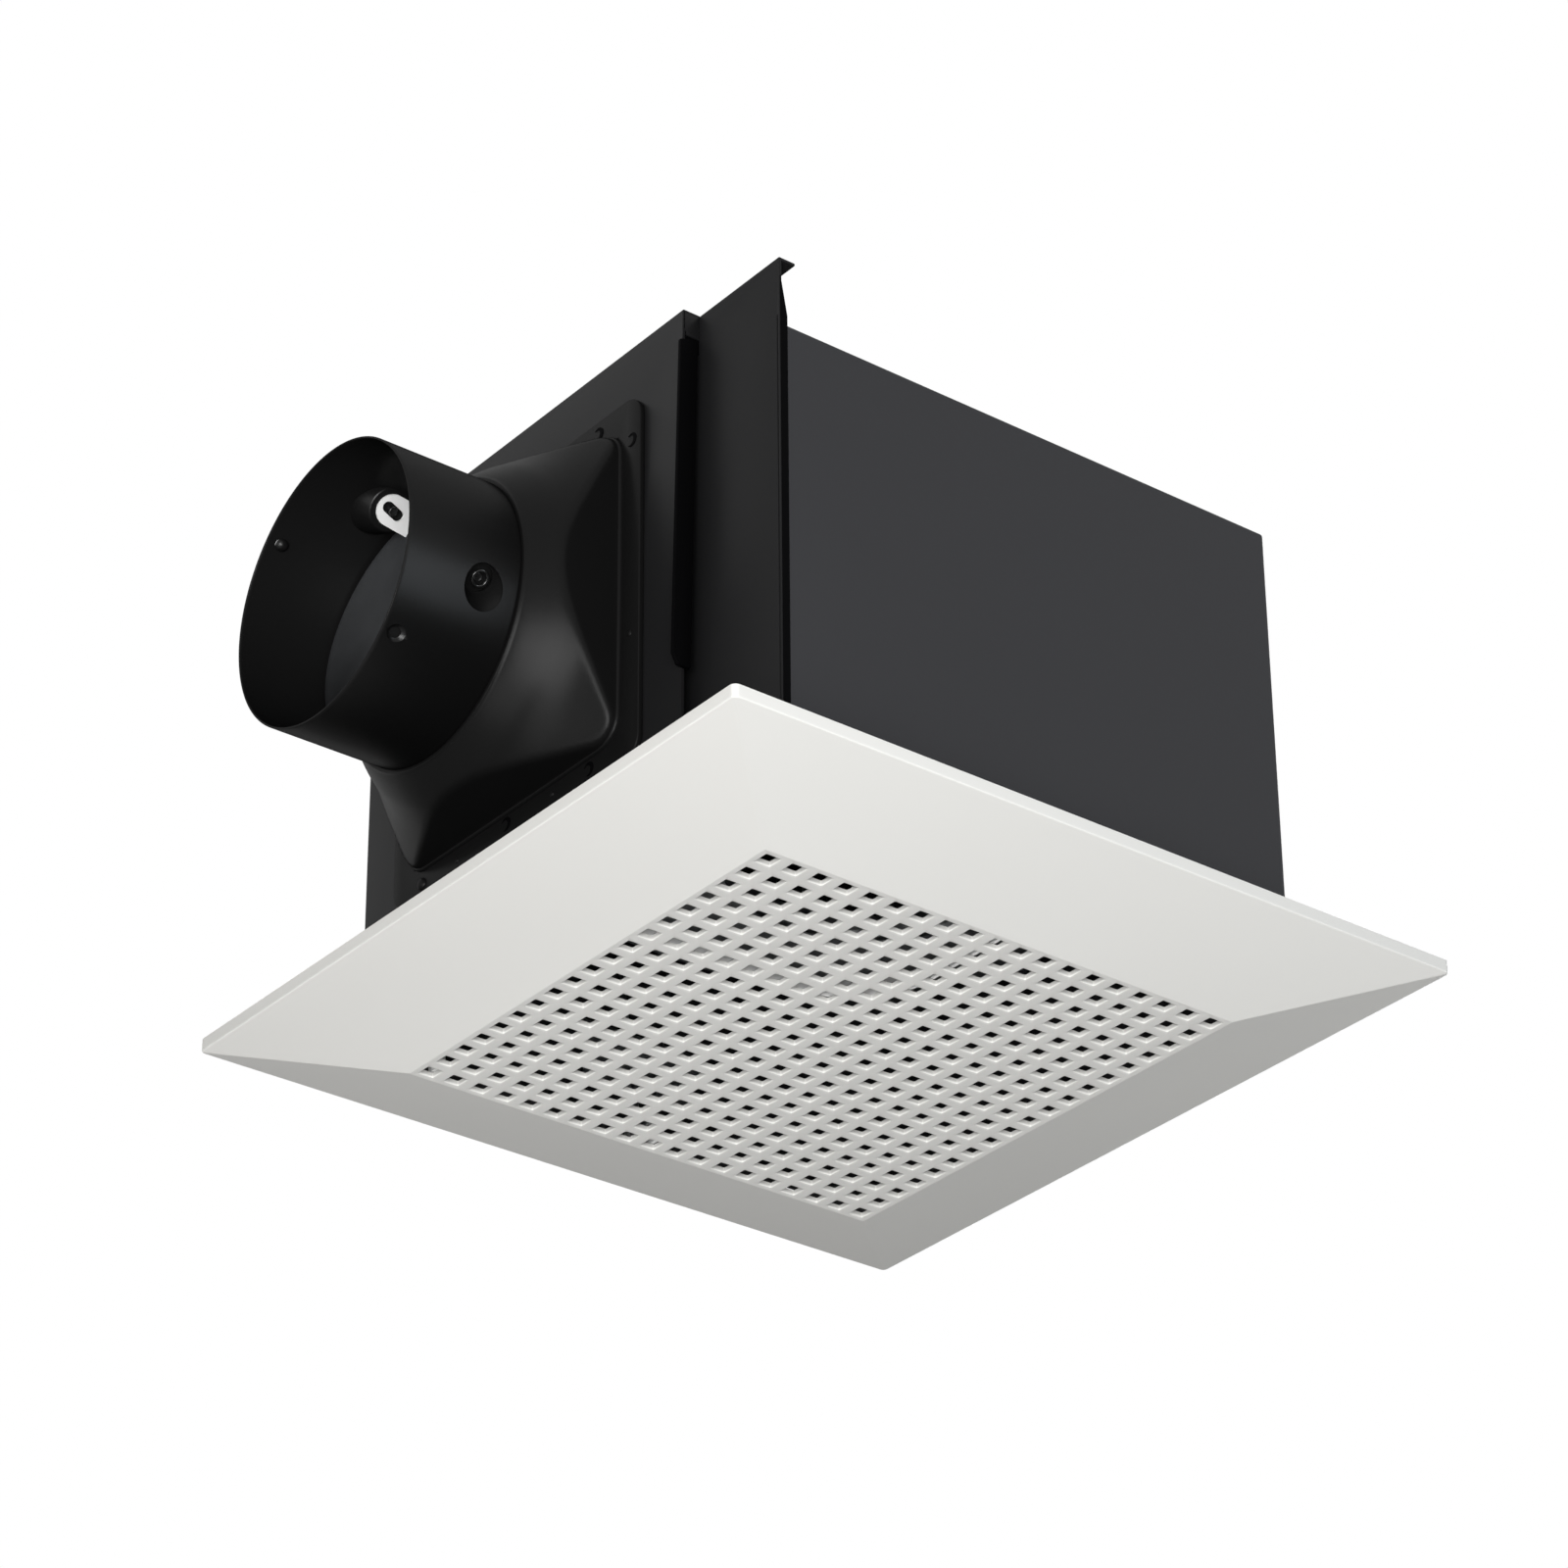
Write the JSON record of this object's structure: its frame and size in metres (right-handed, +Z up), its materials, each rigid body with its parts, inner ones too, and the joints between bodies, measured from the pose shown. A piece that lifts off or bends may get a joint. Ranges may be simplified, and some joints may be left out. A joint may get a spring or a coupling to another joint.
{
  "type": "ceiling exhaust fan",
  "caption": "Ceiling exhaust fan: white lattice grille, dark steel box, square-to-round side duct adapter with backdraft flap, sirocco wheel in a scroll.",
  "frame": {"origin": "the ceiling plane at the middle of the grille, where the four ceiling screws centre", "axes": "+Z up into the ceiling void, -X the way the duct leaves, +Y towards the side the duct is offset to"},
  "size_m": [0.3275, 0.29, 0.21],
  "materials": {
    "housing_paint": "satin dark grey powder coat",
    "strip_black": "matte black",
    "adapter_plastic": "satin black moulding",
    "gasket_foam": "matte foam",
    "bright_steel": "zinc plated",
    "black_screws": "black zinc",
    "flap_metal": "satin",
    "galvanised_sheet": "galvanised",
    "black_rubber": "matte",
    "motor_steel": "pressed and plated",
    "core_steel": "stacked laminations",
    "copper_winding": "enamelled copper wire",
    "bearing_steel": "ground steel",
    "wheel_plastic": "satin black moulding",
    "capacitor_can": "white moulding",
    "terminal_plastic": "cream moulding",
    "brass_screws": "plain",
    "earth_green": "green",
    "lead_sheath": "smooth sheath",
    "spring_wire": "drawn wire",
    "grille_plastic": "satin white moulding"
  },
  "bodies": {
    "housing": {"housing_top": "housing_paint", "housing_near_side": "housing_paint", "housing_far_side": "housing_paint", "housing_back": "housing_paint", "ceiling_flange": "housing_paint", "duct_wall": "housing_paint", "adapter_plate": "housing_paint", "adapter_sleeve": "housing_paint", "wedge_strip": "strip_black", "duct_flare": "adapter_plastic", "duct_spigot": "adapter_plastic", "damper_gasket": "gasket_foam", "damper_pins": "bright_steel", "plate_screws": "bright_steel", "inlet_screws": "bright_steel", "bracket_bolts": "bright_steel", "motor_screws": "bright_steel", "cover_screw": "bright_steel", "clamp_screws": "bright_steel", "capacitor_screw": "bright_steel", "adapter_screws": "black_screws", "scroll_casing": "galvanised_sheet", "scroll_roof": "galvanised_sheet", "scroll_posts": "galvanised_sheet", "motor_bracket": "galvanised_sheet", "capacitor_strap": "galvanised_sheet", "terminal_box": "galvanised_sheet", "terminal_cover": "galvanised_sheet", "cable_clamp": "galvanised_sheet", "spring_brackets": "galvanised_sheet", "inlet_plate": "galvanised_sheet", "motor_bushes": "black_rubber", "cable_grommet": "black_rubber", "lead_grommet": "black_rubber", "motor_upper_shell": "motor_steel", "motor_lower_shell": "motor_steel", "stator_core": "core_steel", "stator_winding": "copper_winding", "bearing_upper": "bearing_steel", "bearing_lower": "bearing_steel", "capacitor": "capacitor_can", "terminal_block": "terminal_plastic", "terminal_screws": "brass_screws", "earth_screw": "earth_green", "motor_lead": "lead_sheath"},
    "wheel": {"rotor": "core_steel", "motor_shaft": "bearing_steel", "wheel_hub": "wheel_plastic", "wheel_backplate": "wheel_plastic", "wheel_blades": "wheel_plastic", "wheel_ring": "wheel_plastic", "wheel_nut": "bright_steel"},
    "damper": {"damper_flap": "flap_metal"},
    "grille": {"grille_frame": "grille_plastic", "grille_lattice": "grille_plastic", "grille_ribs": "grille_plastic", "grille_springs": "spring_wire", "spring_posts": "grille_plastic"}
  },
  "joints": [
    {"name": "wheel_spin", "type": "hinge", "parent": "housing", "child": "wheel", "pos_m": [0.014, -0.016, 0.1], "axis": [0, 0, 1], "continuous": true},
    {"name": "damper_swing", "type": "hinge", "parent": "housing", "child": "damper", "pos_m": [-0.1525, 0.00432, 0.12068], "axis": [0, 0.7071, 0.7071], "range_deg": [-7, 70], "stiffness_Nm_per_rad": 0.01, "springref_deg": -3.44},
    {"name": "grille_pull", "type": "slide", "parent": "housing", "child": "grille", "axis": [0, 0, -1], "range_m": [0, 0.05], "stiffness_N_per_m": 120, "springref_m": -0.05}
  ]
}
